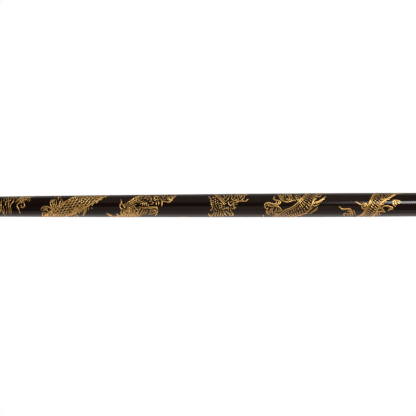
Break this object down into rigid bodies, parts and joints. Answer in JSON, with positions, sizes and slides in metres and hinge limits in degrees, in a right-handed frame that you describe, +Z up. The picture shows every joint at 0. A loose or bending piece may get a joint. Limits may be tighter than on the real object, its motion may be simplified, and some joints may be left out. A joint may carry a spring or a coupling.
{
  "type": "lacquered stick",
  "caption": "Long slender round hardwood stick, thickest in the middle, with dark gloss lacquer and gold leaf dragons wound round it.",
  "frame": {"origin": "middle of the stick's axis", "axes": "+X along the stick towards the right tip, +Z up, -Y towards the face that carries the left dragon's head"},
  "size_m": [0.9144, 0.0264, 0.0264],
  "materials": {
    "hardwood": "turned and sanded, sealed under the lacquer",
    "lacquer": "hard brown-black gloss lacquer",
    "gold_leaf": "fine gold line-work, slightly worn"
  },
  "bodies": {
    "root": {"wood_core": "hardwood", "lacquer_coat": "lacquer", "left_dragon_head": "gold_leaf", "left_dragon_fore_claws": "gold_leaf", "left_dragon_hind_claws": "gold_leaf", "left_dragon_tail": "gold_leaf", "left_dragon_cloud": "gold_leaf", "left_dragon_flames": "gold_leaf", "left_dragon_body": "gold_leaf", "middle_dragon_head": "gold_leaf", "middle_dragon_fore_claws": "gold_leaf", "middle_dragon_hind_claws": "gold_leaf", "middle_dragon_tail": "gold_leaf", "middle_dragon_cloud": "gold_leaf", "middle_dragon_flames": "gold_leaf", "middle_dragon_body": "gold_leaf", "right_dragon_head": "gold_leaf", "right_dragon_fore_claws": "gold_leaf", "right_dragon_hind_claws": "gold_leaf", "right_dragon_tail": "gold_leaf", "right_dragon_cloud": "gold_leaf", "right_dragon_flames": "gold_leaf", "right_dragon_body": "gold_leaf"}
  },
  "joints": []
}
